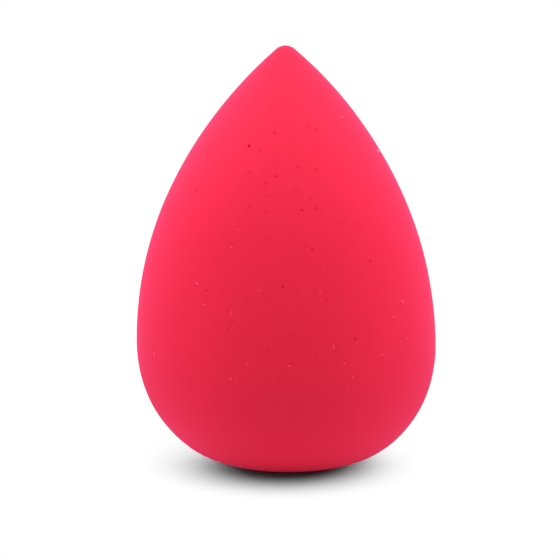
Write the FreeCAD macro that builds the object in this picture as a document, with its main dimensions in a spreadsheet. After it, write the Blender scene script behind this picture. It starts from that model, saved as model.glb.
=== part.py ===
import FreeCAD, Part
import math
import os

import Sketcher

# A teardrop makeup sponge: one soft foam moulding with a small flat base, a full belly and a rounded tip.
# Millimetres and degrees. +Z is up along the axis of the teardrop, and the origin is the middle of the base.
doc = FreeCAD.newDocument("makeup_sponge")

# Driving sizes, each one set by itself: name, value, what it measures.
SIZES = (
    ("overall_height", 60.0, "base to the top of the tip"),
    ("belly_diameter", 43.0, "across the widest ring"),
    ("belly_height", 17.0, "base to the widest ring"),
    ("base_flat_diameter", 14.0, "round flat that the sponge stands on"),
    ("tip_radius", 2.0, "rounding of the tip"),
    ("tip_half_angle", 49.0, "slope of the side against the axis where the tip begins"),
    ("heel_turn_share", 0.5, "part of the turn from base to belly that the heel makes"),
    ("flank_turn_share", 0.5, "part of the turn from belly to tip that the flank makes"),
)
sheet = doc.addObject("Spreadsheet::Sheet", "sizes")
for row, (name, value, meaning) in enumerate(SIZES, start=1):
    sheet.set(f"A{row}", name)
    sheet.set(f"B{row}", str(value))
    sheet.set(f"C{row}", meaning)
    sheet.setAlias(f"B{row}", name)
doc.recompute()


def size(name):
    return float(sheet.get(name))


def unit_step(heading, turn):
    """How far a left-hand arc of radius 1 goes, right and up, while its heading turns."""
    after = heading + turn
    return math.sin(after) - math.sin(heading), math.cos(heading) - math.cos(after)


def radii_of_two_arcs(start, end, heading, first_turn, second_turn):
    """Radii of two arcs, tangent to each other, that lead from start to end."""
    ax, az = unit_step(heading, first_turn)
    bx, bz = unit_step(heading + first_turn, second_turn)
    gap = end - start
    across = ax * bz - az * bx
    return (gap.x * bz - gap.y * bx) / across, (ax * gap.y - az * gap.x) / across


def left_arc(start, heading, radius, turn):
    """The arc that leaves start along heading and bends left, and the point where it ends."""
    centre = start + FreeCAD.Vector(-math.sin(heading), math.cos(heading), 0) * radius
    from_centre = heading - math.pi / 2
    circle = Part.Circle(centre, FreeCAD.Vector(0, 0, 1), radius)
    arc = Part.ArcOfCircle(circle, from_centre, from_centre + turn)
    return arc, arc.EndPoint


# The half outline, right of the axis: base, heel, belly, flank, shoulder, tip, and back down the axis.
# Each arc runs into the next with no kink, so light slides over the moulding without an edge.
origin = FreeCAD.Vector(0, 0, 0)
base_edge = FreeCAD.Vector(size("base_flat_diameter") / 2, 0, 0)
belly_edge = FreeCAD.Vector(size("belly_diameter") / 2, size("belly_height"), 0)
top = FreeCAD.Vector(0, size("overall_height"), 0)
level = 0
upright = math.pi / 2
full_turn = 360
side_turn = math.radians(size("tip_half_angle"))
heel_turn = upright * size("heel_turn_share")
flank_turn = side_turn * size("flank_turn_share")
tip_heading = upright + side_turn
tip_centre = top - FreeCAD.Vector(0, size("tip_radius"), 0)
tip_edge = tip_centre + FreeCAD.Vector(math.cos(side_turn), math.sin(side_turn), 0) * size("tip_radius")

heel_radius, belly_radius = radii_of_two_arcs(base_edge, belly_edge, level, heel_turn, upright - heel_turn)
flank_radius, shoulder_radius = radii_of_two_arcs(
    belly_edge, tip_edge, upright, flank_turn, side_turn - flank_turn
)
heel_arc, heel_end = left_arc(base_edge, level, heel_radius, heel_turn)
belly_arc, belly_end = left_arc(heel_end, heel_turn, belly_radius, upright - heel_turn)
flank_arc, flank_end = left_arc(belly_end, upright, flank_radius, flank_turn)
shoulder_arc, shoulder_end = left_arc(
    flank_end, upright + flank_turn, shoulder_radius, side_turn - flank_turn
)
tip_arc, tip_end = left_arc(shoulder_end, tip_heading, size("tip_radius"), math.pi - tip_heading)

# The foam moulding: the outline is held by tangencies and by the sheet's sizes, then turned about the axis.
foam = doc.addObject("PartDesign::Body", "foam_body")
foam.Label = "foam_body"
axial_plane = next(plane for plane in foam.Origin.OriginFeatures if plane.Role == "XZ_Plane")
outline = foam.newObject("Sketcher::SketchObject", "teardrop_outline")
outline.AttachmentSupport = [(axial_plane, "")]
outline.MapMode = "FlatFace"

base = outline.addGeometry(Part.LineSegment(origin, base_edge), False)
heel = outline.addGeometry(heel_arc, False)
belly = outline.addGeometry(belly_arc, False)
flank = outline.addGeometry(flank_arc, False)
shoulder = outline.addGeometry(shoulder_arc, False)
tip = outline.addGeometry(tip_arc, False)
axis = outline.addGeometry(Part.LineSegment(tip_end, origin), False)

# Points of a line or arc go by number, from 1. The outline's own origin is -1 and its upright axis -2.
START, END, CENTRE = range(1, 4)
ROOT, UPRIGHT_AXIS = range(-1, -3, -1)

outline.addConstraint([
    Sketcher.Constraint("Coincident", base, START, ROOT, START),
    Sketcher.Constraint("Horizontal", base),
    Sketcher.Constraint("Tangent", base, END, heel, START),
    Sketcher.Constraint("Tangent", heel, END, belly, START),
    Sketcher.Constraint("Tangent", belly, END, flank, START),
    Sketcher.Constraint("Tangent", flank, END, shoulder, START),
    Sketcher.Constraint("Tangent", shoulder, END, tip, START),
    Sketcher.Constraint("Horizontal", belly, CENTRE, belly, END),
    Sketcher.Constraint("PointOnObject", tip, CENTRE, UPRIGHT_AXIS),
    Sketcher.Constraint("Coincident", tip, END, axis, START),
    Sketcher.Constraint("Coincident", axis, END, ROOT, START),
    Sketcher.Constraint("Vertical", axis),
])


def driven(constraint, name, expression):
    """Adds a dimension to the outline and ties it to the sheet."""
    index = outline.addConstraint(constraint)
    outline.renameConstraint(index, name)
    outline.setExpression(f"Constraints.{name}", expression)


driven(
    Sketcher.Constraint("DistanceX", base, START, base, END, base_edge.x),
    "base_flat_half", "sizes.base_flat_diameter / 2",
)
driven(
    Sketcher.Constraint("DistanceX", ROOT, START, belly, END, belly_edge.x),
    "belly_half", "sizes.belly_diameter / 2",
)
driven(
    Sketcher.Constraint("DistanceY", ROOT, START, belly, END, belly_edge.y),
    "belly_height", "sizes.belly_height",
)
driven(
    Sketcher.Constraint("DistanceY", ROOT, START, tip, END, top.y),
    "overall_height", "sizes.overall_height",
)
driven(Sketcher.Constraint("Radius", tip, size("tip_radius")), "tip_radius", "sizes.tip_radius")
driven(
    Sketcher.Constraint("Angle", heel, heel_turn),
    "heel_turn", "90 * sizes.heel_turn_share",
)
driven(
    Sketcher.Constraint("Angle", flank, flank_turn),
    "flank_turn", "sizes.tip_half_angle * sizes.flank_turn_share",
)
driven(
    Sketcher.Constraint("Angle", tip, math.pi - tip_heading),
    "tip_turn", "90 - sizes.tip_half_angle",
)
doc.recompute()

turned = foam.newObject("PartDesign::Revolution", "teardrop")
turned.Profile = outline
turned.ReferenceAxis = (outline, ["V_Axis"])
turned.Angle = full_turn
doc.recompute()

# Nothing is written unless every feature came out whole.
for feature in doc.Objects:
    if "Invalid" in feature.State or "Error" in feature.State:
        raise RuntimeError(f"{feature.Label} failed: {feature.State}")
sub_parts = [foam]
for sub_part in sub_parts:
    if sub_part.Shape.isNull() or not sub_part.Shape.isValid():
        raise RuntimeError(f"{sub_part.Label} has no valid shape")

os.makedirs("parts", exist_ok=True)
for sub_part in sub_parts:
    sub_part.Shape.exportStep(os.path.join("parts", sub_part.Label + ".step"))
    print(sub_part.Label, "volume", round(sub_part.Shape.Volume), "cubic mm")
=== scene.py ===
import math
import random

import bmesh
import bpy
import numpy as np
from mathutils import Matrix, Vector, kdtree, noise
from mathutils.geometry import delaunay_2d_cdt


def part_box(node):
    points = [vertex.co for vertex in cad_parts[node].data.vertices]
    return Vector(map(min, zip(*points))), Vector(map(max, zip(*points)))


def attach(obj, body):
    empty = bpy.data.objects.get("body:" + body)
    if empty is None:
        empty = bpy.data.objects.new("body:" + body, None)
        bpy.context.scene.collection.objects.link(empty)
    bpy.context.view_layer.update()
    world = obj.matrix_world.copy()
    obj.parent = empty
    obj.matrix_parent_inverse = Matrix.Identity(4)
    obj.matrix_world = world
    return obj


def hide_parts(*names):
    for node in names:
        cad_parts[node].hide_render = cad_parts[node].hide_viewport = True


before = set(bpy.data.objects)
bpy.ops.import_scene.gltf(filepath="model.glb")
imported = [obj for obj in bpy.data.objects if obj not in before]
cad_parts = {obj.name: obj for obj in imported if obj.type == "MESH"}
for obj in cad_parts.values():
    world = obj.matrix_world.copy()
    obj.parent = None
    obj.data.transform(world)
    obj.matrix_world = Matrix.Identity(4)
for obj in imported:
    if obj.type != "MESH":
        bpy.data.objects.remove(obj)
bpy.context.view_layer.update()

# Camera: a long lens a little above the sponge, square on to it, as in the photograph.
# The sponge stands right of the middle of the picture, and the lens has no shift.
MM = 0.001
PHOTO_SIDE = 560
PIXELS_PER_MM = 6.978
AXIS_COLUMN = 288.8
MIDDLE_ROW = 254.25
MIDDLE_HEIGHT = 30 * MM
CAMERA_DISTANCE = 450 * MM
CAMERA_RAISED = math.radians(9.5)
NEAR_CLIP = 10 * MM

photo_middle = PHOTO_SIDE / 2
to_camera = Vector((0, -math.cos(CAMERA_RAISED), math.sin(CAMERA_RAISED)))
picture_up = Vector((0, math.sin(CAMERA_RAISED), math.cos(CAMERA_RAISED)))
picture_right = Vector((1, 0, 0))
pixel = MM / PIXELS_PER_MM
sponge_middle = Vector((0, 0, MIDDLE_HEIGHT))
looked_at = (
    sponge_middle
    - picture_right * (AXIS_COLUMN - photo_middle) * pixel
    - picture_up * (photo_middle - MIDDLE_ROW) * pixel
)
camera_data = bpy.data.cameras.new("camera")
camera_data.lens = camera_data.sensor_width * CAMERA_DISTANCE / (PHOTO_SIDE * pixel)
camera_data.clip_start = NEAR_CLIP
camera = bpy.data.objects.new("camera", camera_data)
camera.location = sponge_middle + to_camera * CAMERA_DISTANCE
look = looked_at - camera.location
camera.rotation_mode = "QUATERNION"
camera.rotation_quaternion = look.to_track_quat("-Z", "Y")
bpy.context.collection.objects.link(camera)
bpy.context.scene.camera = camera


# Foam body: the whole sponge, one soft teardrop of polyurethane, foamed and cured in a closed mould.
# It has a fine matt skin with a few open pinholes, and it stands loose on its small flat base.
BELLY_HEIGHT = 17 * MM
BASE_HALF = 7 * MM
TIP_RADIUS = 2 * MM
TIP_SLOPE = math.radians(49)
OUTLINE_STEP = 0.02 * MM

box_low, box_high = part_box("foam_body")
sponge_height = box_high.z - box_low.z
belly_half = (box_high.x - box_low.x) / 2


def unit_step(heading, turn):
    """How far an arc of radius 1 goes, out and up, while its heading turns to the left."""
    after = heading + turn
    return Vector((math.sin(after) - math.sin(heading), math.cos(heading) - math.cos(after)))


def add_arc(line, heading, radius, turn):
    """Adds to the outline an arc that goes on from its end without a kink."""
    start = line[-1]
    steps = round(radius * turn / OUTLINE_STEP)
    for i in range(1, steps + 1):
        line.append(start + unit_step(heading, turn * i / steps) * radius)


def add_two_arcs(line, end, heading, turn):
    """Adds two arcs that share the turn equally and lead smoothly to the end."""
    first = unit_step(heading, turn / 2)
    second = unit_step(heading + turn / 2, turn / 2)
    gap = end - line[-1]
    across = first.cross(second)
    add_arc(line, heading, gap.cross(second) / across, turn / 2)
    add_arc(line, heading + turn / 2, first.cross(gap) / across, turn / 2)


# The half outline from the middle of the base to the tip: heel, belly, flank, shoulder and tip.
upright = math.pi / 2
belly_edge = Vector((belly_half, BELLY_HEIGHT))
tip_middle = Vector((0, sponge_height - TIP_RADIUS))
tip_edge = tip_middle + Vector((math.cos(TIP_SLOPE), math.sin(TIP_SLOPE))) * TIP_RADIUS
base_steps = round(BASE_HALF / OUTLINE_STEP)
outline = [Vector((BASE_HALF * i / base_steps, 0)) for i in range(base_steps + 1)]
add_two_arcs(outline, belly_edge, 0, upright)
add_two_arcs(outline, tip_edge, upright, TIP_SLOPE)
add_arc(outline, upright + TIP_SLOPE, TIP_RADIUS, upright - TIP_SLOPE)

# The skin is laid out flat like a sea chart, turn across and latitude up, so that small circles stay round.
# The chart stops just short of the axis, at the base and at the tip.
POLE_RADIUS = 0.4 * MM
skin_line = np.array([point[:] for point in outline])
run = np.concatenate([[0], np.cumsum(np.hypot(*np.diff(skin_line, axis=0).T))])
along = np.gradient(skin_line, run, axis=0)
off_pole = np.maximum(skin_line[:, 0], POLE_RADIUS / 2)
latitude = np.concatenate([[0], np.cumsum(np.diff(run) * 2 / (off_pole[1:] + off_pole[:-1]))])

# This one sponge leans a little to the left, and its own weight makes it swell just above the base.
LEAN = 0.52 * MM
LEAN_HEIGHT = 38 * MM
TIP_LEAN = 0.15 * MM
TIP_FROM = 51 * MM
SAG = 0.10 * MM
SAG_HEIGHT = 7.5 * MM
SAG_REACH = 4.5 * MM


def radius_at(lat):
    """Radius of the outline at a latitude, before the sag."""
    return float(np.interp(lat, latitude, skin_line[:, 0]))


def skin(turn, lat, out=0.0):
    """Point of the skin. Turn 0 faces the camera, and out lifts the point off the skin."""
    radius = radius_at(lat)
    height = np.interp(lat, latitude, skin_line[:, 1])
    radius += np.interp(lat, latitude, along[:, 1]) * out
    height -= np.interp(lat, latitude, along[:, 0]) * out
    radius += SAG * math.exp(-(((height - SAG_HEIGHT) / SAG_REACH) ** 2)) * min(1, height / SAG_REACH)
    lean = LEAN * (1 - ((height - LEAN_HEIGHT) / LEAN_HEIGHT) ** 2)
    lean += TIP_LEAN * (max(0, height - TIP_FROM) / (sponge_height - TIP_FROM)) ** 2
    return Vector((radius * math.sin(turn) - lean, -radius * math.cos(turn), height))


# The search for the skin under a pixel goes half of the way at each try. Near the edge a step of the picture
# is a long way round the sponge, so there the way is kept short and within the side that shows.
PIXEL_TRIES = 60
TRY_SHARE = 0.5
LEAST_FACING = 0.15
MOST_TURN = 1.4
RISE_SHARE = 0.8


def under_pixel(column, row):
    """Turn and latitude of the skin that shows at a pixel of the photograph."""
    side = (column - photo_middle) * pixel / CAMERA_DISTANCE
    rise = (photo_middle - row) * pixel / CAMERA_DISTANCE
    ray = camera.rotation_quaternion @ Vector((side, rise, -1))
    turn = 0.0
    lat = float(np.interp(BELLY_HEIGHT, skin_line[:, 1], latitude))
    for _ in range(PIXEL_TRIES):
        radius = radius_at(lat)
        here = skin(turn, lat)
        share = (here - camera.location).dot(to_camera) / ray.dot(to_camera)
        miss = camera.location + ray * share - here
        turn += TRY_SHARE * miss.x / (radius * max(math.cos(turn), LEAST_FACING))
        turn = max(-MOST_TURN, min(MOST_TURN, turn))
        lat += TRY_SHARE * miss.dot(picture_up) / (radius * RISE_SHARE)
    return turn, lat


# Pinholes: bubbles that met the mould and stayed open. Nibs: burst bubbles whose skin stands up at one side.
# Those of the photograph sit where it shows them: column, row and, where they show, the clock hour of the
# low side and how far the mark is drawn out square to that. The rest are strewn over the other sides, off
# the seam at the back, where the two ends of the chart meet.
GAPING_PINHOLES = ((249, 146),)
DEEP_PINHOLES = ((196.5, 190), (302, 210), (312, 250), (370, 261.5), (283, 287), (355, 339))
OPEN_PINHOLES = (
    (259, 151), (275, 133), (298, 168, 12), (316, 170), (276, 177), (266, 184), (316, 209), (207, 291),
    (227, 311, 3), (326.5, 299.5), (279.5, 378.5), (316, 130),
)
SHALLOW_PINHOLES = (
    (308, 126), (249, 173), (266, 196), (250, 206), (266, 211), (296, 190), (311, 199), (322, 211),
    (343, 221), (269.5, 240.5), (304.7, 246), (297.6, 291), (342.5, 292), (246, 304.5), (310, 342),
    (218, 357), (294, 334), (369, 330), (268, 350),
)
TORN_NIBS = ((377.3, 151.6, 6, 1.2),)
PALE_NIBS = (
    (197, 284, 7, 1.2), (397, 432, 12), (361, 454.5, 12), (402, 302, 8), (154, 354, 10), (343, 118, 6, 1.8),
)
BRIGHT_NIBS = (
    (232, 247), (205, 304.5, 1), (232, 328, 10), (290, 366), (231.5, 379, 3), (334, 347, 3, 2.4),
    (344, 363, 12), (353, 377, 3), (407, 338, 12, 1.8),
)
FAINT_NIBS = (
    (238, 230), (232, 314, 3, 2.0), (259, 291), (247, 364, 9, 1.8), (394, 318, 6, 2.4), (382, 355.5, 6, 2.4),
    (408.5, 366.5), (399, 408.5), (320.6, 293, 3, 2.0), (323, 265),
)
LISTED = {
    "gaping": GAPING_PINHOLES, "deep": DEEP_PINHOLES, "open": OPEN_PINHOLES, "shallow": SHALLOW_PINHOLES,
    "torn": TORN_NIBS, "pale": PALE_NIBS, "bright": BRIGHT_NIBS, "faint": FAINT_NIBS,
}
HOURS = 12
MOST_STRETCH = 1.4
STREWN = 84
STREWN_FROM = 4 * MM
STREWN_TO = 51 * MM
SEEN_TURN = math.radians(100)
SEAM_TURN = 0.1
KEEP_APART = 1.3 * MM
SEED = 7

# A mark is made of rings. Their radii and lifts are shares of the mark's own radius, and each lift and each
# painted light and shade is given for the high side and for the low side. A value of 1 is a painted highlight
# in pale pink, 2 a brighter painted highlight on the torn nib, and -1 painted shade in deep red.
KINDS = {
    "gaping": {
        "radius": 0.23 * MM, "strewn": 0.02, "rings": (0, 0.4, 0.7, 1.0, 1.25, 1.5),
        "high_lifts": (-0.9, -0.85, -0.6, -0.05, 0.01, 0), "high_light_and_shade": (-1.0, -1.0, -0.8, 0, 0.05, 0),
        "low_lifts": (-0.9, -0.86, -0.7, -0.2, -0.04, 0), "low_light_and_shade": (-1.0, -1.0, -0.9, -0.3, 0, 0),
    },
    "deep": {
        "radius": 0.24 * MM, "strewn": 0.10, "rings": (0, 0.4, 0.7, 1.0, 1.25, 1.5),
        "high_lifts": (-0.28, -0.25, -0.14, -0.02, 0.01, 0), "high_light_and_shade": (-0.9, -0.8, -0.45, 0, 0.05, 0),
        "low_lifts": (-0.28, -0.27, -0.19, -0.08, -0.02, 0), "low_light_and_shade": (-0.9, -0.8, -0.55, -0.2, 0, 0),
    },
    "open": {
        "radius": 0.26 * MM, "strewn": 0.20, "rings": (0, 0.4, 0.7, 1.0, 1.25, 1.5),
        "high_lifts": (-0.16, -0.14, -0.08, 0, 0.01, 0), "high_light_and_shade": (-0.5, -0.45, -0.2, 0, 0.05, 0),
        "low_lifts": (-0.16, -0.15, -0.11, -0.05, -0.01, 0), "low_light_and_shade": (-0.5, -0.45, -0.3, -0.1, 0, 0),
    },
    "shallow": {
        "radius": 0.30 * MM, "strewn": 0.30, "rings": (0, 0.5, 1.0, 1.5),
        "high_lifts": (-0.06, -0.05, -0.01, 0), "high_light_and_shade": (-0.3, -0.22, 0, 0),
        "low_lifts": (-0.06, -0.055, -0.025, 0), "low_light_and_shade": (-0.3, -0.25, -0.1, 0),
    },
    "torn": {
        "radius": 0.38 * MM, "strewn": 0, "rings": (0, 0.4, 0.75, 1.05, 1.3, 1.5),
        "high_lifts": (0.80, 0.74, 0.45, 0.06, 0, 0), "high_light_and_shade": (2.0, 2.0, 1.7, 0.4, 0, 0),
        "low_lifts": (0.80, 0.66, 0.20, -0.06, -0.04, 0), "low_light_and_shade": (2.0, 2.0, 1.3, 0.1, -0.1, 0),
    },
    "pale": {
        "radius": 0.28 * MM, "strewn": 0.06, "rings": (0, 0.4, 0.75, 1.05, 1.3, 1.5),
        "high_lifts": (0.34, 0.30, 0.16, 0.02, 0, 0), "high_light_and_shade": (1.0, 1.0, 0.5, 0.1, 0, 0),
        "low_lifts": (0.34, 0.24, -0.08, -0.20, -0.08, 0), "low_light_and_shade": (1.0, 0.8, -0.1, -0.6, -0.2, 0),
    },
    "bright": {
        "radius": 0.24 * MM, "strewn": 0.14, "rings": (0, 0.4, 0.75, 1.05, 1.3, 1.5),
        "high_lifts": (0.32, 0.28, 0.12, 0, 0, 0), "high_light_and_shade": (0.6, 0.5, 0.2, 0, 0, 0),
        "low_lifts": (0.32, 0.22, -0.10, -0.20, -0.08, 0), "low_light_and_shade": (0.6, 0.4, -0.3, -0.6, -0.2, 0),
    },
    "faint": {
        "radius": 0.26 * MM, "strewn": 0.20, "rings": (0, 0.45, 0.8, 1.15, 1.5),
        "high_lifts": (0.18, 0.14, 0.04, 0, 0), "high_light_and_shade": (0.28, 0.22, 0.08, 0, 0),
        "low_lifts": (0.18, 0.10, -0.05, -0.06, 0), "low_light_and_shade": (0.28, 0.18, -0.1, -0.15, 0),
    },
}

rng = random.Random(SEED)
marks = []
mark_points = []


def add_mark(turn, lat, kind, hour=None, stretch=None):
    """Notes a mark, with the hour of its low side and how far it is drawn out square to that."""
    hour = rng.uniform(0, HOURS) if hour is None else hour
    stretch = rng.uniform(1, MOST_STRETCH) if stretch is None else stretch
    marks.append((turn, lat, kind, hour, stretch))
    mark_points.append(skin(turn, lat))


for kind, spots in LISTED.items():
    for column, row, *seen in spots:
        add_mark(*under_pixel(column, row), kind, *seen)
skin_area = np.cumsum(skin_line[:, 0])
strewn_kinds = rng.choices(list(KINDS), [kind["strewn"] for kind in KINDS.values()], k=STREWN)
while strewn_kinds:
    turn = rng.uniform(SEEN_TURN, 2 * math.pi - SEEN_TURN)
    turn -= 2 * math.pi * (turn > math.pi)
    lat = latitude[np.searchsorted(skin_area, rng.random() * skin_area[-1])]
    point = skin(turn, lat)
    crowded = min((point - other).length for other in mark_points) < KEEP_APART
    on_seam = math.pi - abs(turn) < SEAM_TURN
    if crowded or on_seam or not STREWN_FROM < point.z < STREWN_TO:
        continue
    add_mark(turn, lat, strewn_kinds.pop())

near = kdtree.KDTree(len(marks))
for i, point in enumerate(mark_points):
    near.insert(point, i)
near.balance()

# Points of the skin on the chart: even rows, cleared around the marks, then the rings of each mark.
RING_POINTS = 12
SKIN_EDGE = 0.7 * MM
LEAST_COLUMNS = 8
CLEAR_SHARE = 1.15
CHART_NEAR = 1e-7
chart = []
lifts = []
pole_run = float(np.interp(POLE_RADIUS, skin_line[:base_steps, 0], run[:base_steps]))
row_count = round((run[-1] - 2 * pole_run) / SKIN_EDGE)
row_runs = np.linspace(pole_run, run[-1] - pole_run, row_count + 1)
row_lats = np.interp(row_runs, run, latitude)
for lat in row_lats:
    columns = max(LEAST_COLUMNS, round(2 * math.pi * radius_at(lat) / SKIN_EDGE))
    for k in range(columns + 1):
        turn = -math.pi + 2 * math.pi * k / columns
        _, mark, distance = near.find(skin(turn, lat))
        _, _, kind, _, stretch = marks[mark]
        if distance < CLEAR_SHARE * KINDS[kind]["radius"] * KINDS[kind]["rings"][-1] * stretch:
            continue
        chart.append(Vector((turn, lat)))
        lifts.append((0.0, 0.0))
for turn, lat, kind, hour, stretch in marks:
    form_of = KINDS[kind]
    size = form_of["radius"] / radius_at(lat)
    low_turn = 2 * math.pi * hour / HOURS
    low_way = Vector((math.sin(low_turn), math.cos(low_turn)))
    across = Vector((low_way.y, -low_way.x)) * stretch
    for n, share in enumerate(form_of["rings"]):
        for k in range(RING_POINTS if share else 1):
            angle = 2 * math.pi * (k + n % 2 / 2) / RING_POINTS
            step = (low_way * math.cos(angle) + across * math.sin(angle)) * share * size
            lowness = (0.5 + 0.5 * math.cos(angle)) ** 2
            lift = form_of["high_lifts"][n] * (1 - lowness) + form_of["low_lifts"][n] * lowness
            # Painted light and shade of this ring point, between its high side and its low side.
            light_and_shade = form_of["high_light_and_shade"][n] * (1 - lowness) + form_of["low_light_and_shade"][n] * lowness
            chart.append(Vector((turn, lat)) + step)
            lifts.append((lift * form_of["radius"], light_and_shade))
laid, _, triangles, laid_from, _, _ = delaunay_2d_cdt(chart, [], [], 0, CHART_NEAR)

# The skin swells and sinks a little over every few millimetres, as a soft moulding does.
# Towards the tip, which the lamp above lights most, it is painted a little paler: a painted highlight.
SWELL = 0.02 * MM
SWELL_WAVE = 7 * MM
FIRM_TO = 3 * MM
# How much paler the painted highlight makes the tip, and from what height it starts.
TIP_HIGHLIGHT = 0.18
TIP_HIGHLIGHT_FROM = 34 * MM
ROW_NEAR = 1e-5
WELD = 0.0001 * MM
form = bmesh.new()
flat_map = form.loops.layers.uv.new("OFBake")
# Each vertex carries its painted light and shade: the marks' highlights and shade, and the tip's highlight.
light_and_shade_layer = form.verts.layers.float.new("light_and_shade")
flat_place = {}


def skin_vertex(turn, lat, lift, light_and_shade):
    """A vertex of the skin, with its place on the flat map."""
    ground = skin(turn, lat)
    swell = SWELL * noise.noise(ground / SWELL_WAVE) * min(1, ground.z / FIRM_TO)
    vertex = form.verts.new(skin(turn, lat, lift + swell))
    # Painted light and shade: the mark's own, plus the painted highlight towards the tip.
    vertex[light_and_shade_layer] = light_and_shade + TIP_HIGHLIGHT * max(0, ground.z - TIP_HIGHLIGHT_FROM) / (sponge_height - TIP_HIGHLIGHT_FROM)
    flat_place[vertex] = (turn / (2 * math.pi) + 0.5, float(np.interp(lat, latitude, run)) / run[-1])
    return vertex


placed = [skin_vertex(*point, *lifts[source[0]]) for point, source in zip(laid, laid_from)]
for triangle in triangles:
    form.faces.new([placed[i] for i in triangle])
for edge_lat, pole_lat in ((row_lats[0], latitude[0]), (row_lats[-1], latitude[-1])):
    middle = skin_vertex(0.0, pole_lat, 0.0, 0.0)
    rim = [vertex for vertex, point in zip(placed, laid) if abs(point.y - edge_lat) < ROW_NEAR]
    rim.sort(key=lambda vertex: flat_place[vertex][0])
    for vertex, following in zip(rim, rim[1:]):
        form.faces.new((middle, vertex, following))
for face in form.faces:
    face.smooth = True
    for loop in face.loops:
        loop[flat_map].uv = flat_place[loop.vert]
bmesh.ops.remove_doubles(form, verts=form.verts, dist=WELD)
bmesh.ops.recalc_face_normals(form, faces=form.faces)
foam_mesh = bpy.data.meshes.new("foam_body_skin")
form.to_mesh(foam_mesh)
form.free()
foam_body = bpy.data.objects.new("foam_body_skin", foam_mesh)
bpy.context.collection.objects.link(foam_body)


def linear(hex_colour):
    """Linear colour, with alpha, of an sRGB hex colour."""
    channels = [int(hex_colour[i : i + 2], 16) / 255 for i in (1, 3, 5)]
    return (*(c / 12.92 if c <= 0.04045 else ((c + 0.055) / 1.055) ** 2.4 for c in channels), 1.0)


def add_node(tree, kind, settings=None, links=None):
    """Adds a node, sets its properties and its sockets, by name or number, and links sockets to outputs."""
    node = tree.nodes.new(kind)
    for name, value in (settings or {}).items():
        if isinstance(name, int) or name in node.inputs:
            node.inputs[name].default_value = value
        else:
            setattr(node, name, value)
    for name, output in (links or {}).items():
        tree.links.new(output, node.inputs[name])
    return node


# Sockets of a node that mixes two colours, by number, because its sockets for numbers have the same names.
MIX_SHARE = 0
MIX_FROM = 6
MIX_TO = 7
MIXED = 2

# Moulded polyurethane foam, cured against a smooth mould: dead matt, with a soft pink bloom at the edges.
# Its cells, 0.1 to 0.2 mm wide, are drawn coarser so that they show as a faint grain, and its dye drifts a
# little over every few millimetres. Painted highlights make the nibs and the tip paler and the torn nib's
# raised skin palest; painted shade makes pits and the low sides of nibs deep red.
FOAM_RED = "#E22641"
# Pale pink of the painted highlights on nibs and the tip; palest pink, the torn nib's painted highlight.
FOAM_PAINTED_HIGHLIGHT = "#FF4C6B"
FOAM_TORN_HIGHLIGHT = "#FF7A90"
# Deep red of the painted shade in pits and on the low sides of nibs.
FOAM_PAINTED_SHADE = "#CF0A27"
FOAM_BLOOM = "#FF6CA7"
CELL = 0.35 * MM
DRIFT = 5 * MM
UNEVEN_REACH = 0.4
DYE_REACH = 0.03
GRAIN_DEPTH = 0.03 * MM
GRAIN_STRENGTH = 0.15
foam = bpy.data.materials.new("foam_polyurethane_moulded_matt")
foam.use_nodes = True
tree = foam.node_tree
tree.nodes.clear()
place = add_node(tree, "ShaderNodeTexCoord")
cells = add_node(
    tree,
    "ShaderNodeTexNoise",
    {"Scale": 1 / CELL, "Detail": 2.0},
    {"Vector": place.outputs["Object"]},
)
drift = add_node(
    tree,
    "ShaderNodeTexNoise",
    {"Scale": 1 / DRIFT, "Detail": 3.0},
    {"Vector": place.outputs["Object"]},
)
unevenness = add_node(
    tree,
    "ShaderNodeMath",
    {"operation": "ADD"},
    {0: cells.outputs["Fac"], 1: drift.outputs["Fac"]},
)
dye = add_node(
    tree,
    "ShaderNodeMapRange",
    {
        "From Min": 1 - UNEVEN_REACH,
        "From Max": 1 + UNEVEN_REACH,
        "To Min": 1 - DYE_REACH,
        "To Max": 1 + DYE_REACH,
    },
    {"Value": unevenness.outputs["Value"]},
)
dyed = add_node(
    tree,
    "ShaderNodeVectorMath",
    {"operation": "SCALE", 0: linear(FOAM_RED)[:3]},
    {"Scale": dye.outputs["Result"]},
)
# Painted light and shade from the mesh: above 0 a painted highlight, above 1 a brighter one, below 0 painted
# shade.
light_and_shade = add_node(tree, "ShaderNodeAttribute", {"attribute_name": "light_and_shade"})
highlighted = add_node(
    tree,
    "ShaderNodeMix",
    {"data_type": "RGBA", MIX_TO: linear(FOAM_PAINTED_HIGHLIGHT)},
    {MIX_SHARE: light_and_shade.outputs["Fac"], MIX_FROM: dyed.outputs["Vector"]},
)
past_highlight = add_node(tree, "ShaderNodeMath", {"operation": "SUBTRACT", 1: 1.0}, {0: light_and_shade.outputs["Fac"]})
torn_highlighted = add_node(
    tree,
    "ShaderNodeMix",
    {"data_type": "RGBA", MIX_TO: linear(FOAM_TORN_HIGHLIGHT)},
    {MIX_SHARE: past_highlight.outputs["Value"], MIX_FROM: highlighted.outputs[MIXED]},
)
# Below 0 the painted light and shade is painted shade, mixed in as deep red.
shade_share = add_node(tree, "ShaderNodeMath", {"operation": "MULTIPLY", 1: -1.0}, {0: light_and_shade.outputs["Fac"]})
skin_colour = add_node(
    tree,
    "ShaderNodeMix",
    {"data_type": "RGBA", MIX_TO: linear(FOAM_PAINTED_SHADE)},
    {MIX_SHARE: shade_share.outputs["Value"], MIX_FROM: torn_highlighted.outputs[MIXED]},
)

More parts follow.
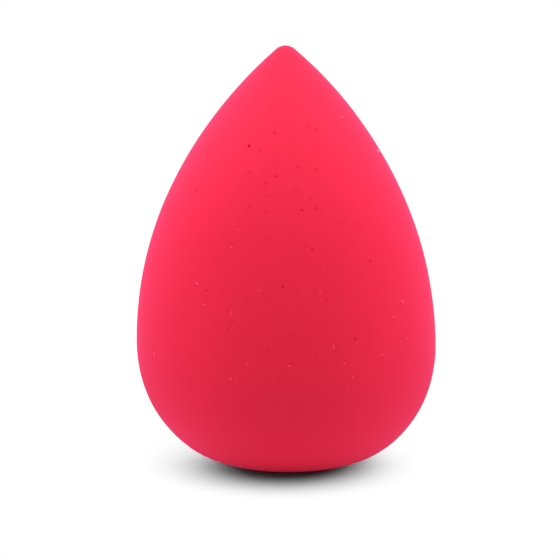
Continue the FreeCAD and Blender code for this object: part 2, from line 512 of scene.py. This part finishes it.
# The shadow in the photograph has no red in it, so the card sees dark grey foam.
# Nearer than about the width of a pinhole, as inside one, the foam still sees its own red.
FOAM_GREY = "#202020"
GREY_FROM = 0.45 * MM
rays = add_node(tree, "ShaderNodeLightPath")
far_off = add_node(
    tree,
    "ShaderNodeMath",
    {"operation": "GREATER_THAN", 1: GREY_FROM},
    {0: rays.outputs["Ray Length"]},
)
from_card = add_node(
    tree,
    "ShaderNodeMath",
    {"operation": "MULTIPLY"},
    {0: far_off.outputs["Value"], 1: rays.outputs["Is Diffuse Ray"]},
)
seen_colour = add_node(
    tree,
    "ShaderNodeMix",
    {"data_type": "RGBA", MIX_TO: linear(FOAM_GREY)},
    {MIX_SHARE: from_card.outputs["Value"], MIX_FROM: skin_colour.outputs[MIXED]},
)
grain = add_node(
    tree,
    "ShaderNodeBump",
    {"Strength": GRAIN_STRENGTH, "Distance": GRAIN_DEPTH},
    {"Height": cells.outputs["Fac"]},
)
surface = add_node(
    tree,
    "ShaderNodeBsdfPrincipled",
    {
        "Roughness": 0.9,
        "Specular IOR Level": 0.0,
        "Sheen Weight": 0.57,
        "Sheen Roughness": 0.5,
        "Sheen Tint": linear(FOAM_BLOOM),
    },
    {"Base Color": seen_colour.outputs[MIXED], "Normal": grain.outputs["Normal"]},
)
add_node(tree, "ShaderNodeOutputMaterial", {}, {"Surface": surface.outputs["BSDF"]})
foam_mesh.materials.append(foam)
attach(foam_body, "root")
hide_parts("foam_body")

# Floor: a broad sheet of matt card that the sponge stands on. It is grey, and its own lamps light it white,
# so that the room hardly lights its shadow. Past the shadow, which lies a little to the left and is narrower
# across than it is deep, the eye sees plain white.
FLOOR_HALF = 3.0
FLOOR_DROP = 0.02 * MM
CARD_GREY = "#959595"
SHADOW_MIDDLE = -1 * MM
SHADOW_NARROWED = 1.2
SHADOW_FROM = 10.5 * MM
SHADOW_TO = 25.5 * MM
floor_mesh = bpy.data.meshes.new("floor_card")
floor_corners = [(x * FLOOR_HALF, y * FLOOR_HALF, 0) for x, y in ((-1, -1), (1, -1), (1, 1), (-1, 1))]
floor_mesh.from_pydata(floor_corners, [], [(0, 1, 2, 3)])
floor = bpy.data.objects.new("floor_card", floor_mesh)
floor.location.z = -FLOOR_DROP
bpy.context.collection.objects.link(floor)

# Uncoated card, pressed smooth: no gloss and no grain that shows, so all that the eye gets is the shadow.
card = bpy.data.materials.new("card_grey_matt")
card.use_nodes = True
tree = card.node_tree
tree.nodes.clear()


def eye_rays(tree):
    """1 for rays from the camera, a mirror or glass, and 0 for those that carry light between surfaces."""
    rays = add_node(tree, "ShaderNodeLightPath")
    seen = rays.outputs["Is Camera Ray"]
    for other in ("Is Glossy Ray", "Is Transmission Ray"):
        either = add_node(tree, "ShaderNodeMath", {"operation": "MAXIMUM"}, {0: seen, 1: rays.outputs[other]})
        seen = either.outputs["Value"]
    return seen


place = add_node(tree, "ShaderNodeTexCoord")
from_foot = add_node(
    tree,
    "ShaderNodeVectorMath",
    {"operation": "LENGTH"},
    {"Vector": place.outputs["Object"]},
)
from_shadow = add_node(
    tree,
    "ShaderNodeMapping",
    {"vector_type": "TEXTURE", "Location": (SHADOW_MIDDLE, 0, 0), "Scale": (1 / SHADOW_NARROWED, 1, 1)},
    {"Vector": place.outputs["Object"]},
)
shadow_reach = add_node(
    tree,
    "ShaderNodeVectorMath",
    {"operation": "LENGTH"},
    {"Vector": from_shadow.outputs["Vector"]},
)
away = add_node(
    tree,
    "ShaderNodeMapRange",
    {"interpolation_type": "SMOOTHSTEP", "From Min": SHADOW_FROM, "From Max": SHADOW_TO},
    {"Value": shadow_reach.outputs["Value"]},
)
paper = add_node(tree, "ShaderNodeBsdfDiffuse", {"Color": linear(CARD_GREY)})
white = add_node(tree, "ShaderNodeEmission", {"Strength": 1.0})
to_eye = add_node(
    tree,
    "ShaderNodeMixShader",
    {},
    {"Fac": away.outputs["Result"], 1: paper.outputs["BSDF"], 2: white.outputs["Emission"]},
)

# What the card sends up to the sponge: even white light, which fades towards the foot.
# There the card sees little but the sponge, so the last of its light is red.
CARD_GLOW = 0.94
RED_FROM = 7 * MM
RED_TO = 20 * MM
WHITE_FROM = 12 * MM
WHITE_TO = 24 * MM
red_part = add_node(
    tree,
    "ShaderNodeMapRange",
    {"interpolation_type": "SMOOTHSTEP", "From Min": RED_FROM, "From Max": RED_TO},
    {"Value": from_foot.outputs["Value"]},
)
white_part = add_node(
    tree,
    "ShaderNodeMapRange",
    {"interpolation_type": "SMOOTHSTEP", "From Min": WHITE_FROM, "From Max": WHITE_TO},
    {"Value": from_foot.outputs["Value"]},
)
sent_up = add_node(
    tree,
    "ShaderNodeCombineColor",
    {},
    {
        "Red": red_part.outputs["Result"],
        "Green": white_part.outputs["Result"],
        "Blue": white_part.outputs["Result"],
    },
)
glow = add_node(tree, "ShaderNodeEmission", {"Strength": CARD_GLOW}, {"Color": sent_up.outputs["Color"]})
seen_card = add_node(
    tree,
    "ShaderNodeMixShader",
    {},
    {"Fac": eye_rays(tree), 1: glow.outputs["Emission"], 2: to_eye.outputs["Shader"]},
)
add_node(tree, "ShaderNodeOutputMaterial", {}, {"Surface": seen_card.outputs["Shader"]})
floor_mesh.materials.append(card)


# Lamps: soft boxes left, right and above for the sponge, as in a light tent.
# The card has its own, strongest from behind, so that its shadow lies under the sponge and in front of it.
def lit_only(name, thing):
    """The collection that a lamp's light is kept to."""
    group = bpy.data.collections.new(name)
    group.objects.link(thing)
    return group


def soft_box(name, place, width, height, watts, lit):
    """A rectangular lamp that faces the middle of the sponge."""
    data = bpy.data.lights.new(name, "AREA")
    data.shape = "RECTANGLE"
    data.size = width
    data.size_y = height
    data.energy = watts
    lamp = bpy.data.objects.new(name, data)
    lamp.location = place
    lamp.rotation_mode = "QUATERNION"
    lamp.rotation_quaternion = (sponge_middle - lamp.location).to_track_quat("-Z", "Y")
    lamp.visible_camera = False
    lamp.light_linking.receiver_collection = lit
    bpy.context.collection.objects.link(lamp)


lit_sponge = lit_only("lit_sponge", foam_body)
soft_box("sponge_lamp_left", place=(-0.42, 0, 0.11), width=0.40, height=0.35, watts=1.03, lit=lit_sponge)
soft_box("sponge_lamp_right", place=(0.42, 0, 0.12), width=0.40, height=0.35, watts=0.99, lit=lit_sponge)
soft_box("sponge_lamp_above", place=(0, 0, 0.50), width=0.50, height=0.50, watts=2.75, lit=lit_sponge)
lit_card = lit_only("lit_card", floor)
soft_box("card_lamp_left", place=(-0.32, 0, 0.42), width=0.40, height=0.30, watts=1.0, lit=lit_card)
soft_box("card_lamp_right", place=(0.32, 0, 0.42), width=0.40, height=0.30, watts=2.15, lit=lit_card)
soft_box("card_lamp_behind", place=(0, 0.42, 0.06), width=0.90, height=0.12, watts=43.7, lit=lit_card)

# World: the white inside of a light tent. The eye and reflections see plain white, and everything else gets
# a weaker, even fill.
FILL = 0.51
world = bpy.data.worlds.new("white_room")
bpy.context.scene.world = world
world.use_nodes = True
tree = world.node_tree
tree.nodes.clear()
level = add_node(tree, "ShaderNodeMapRange", {"To Min": FILL, "To Max": 1.0}, {"Value": eye_rays(tree)})
sky = add_node(tree, "ShaderNodeBackground", {"Color": (1, 1, 1, 1)}, {"Strength": level.outputs["Result"]})
add_node(tree, "ShaderNodeOutputWorld", {}, {"Surface": sky.outputs["Background"]})
bpy.context.scene.view_settings.view_transform = "Standard"
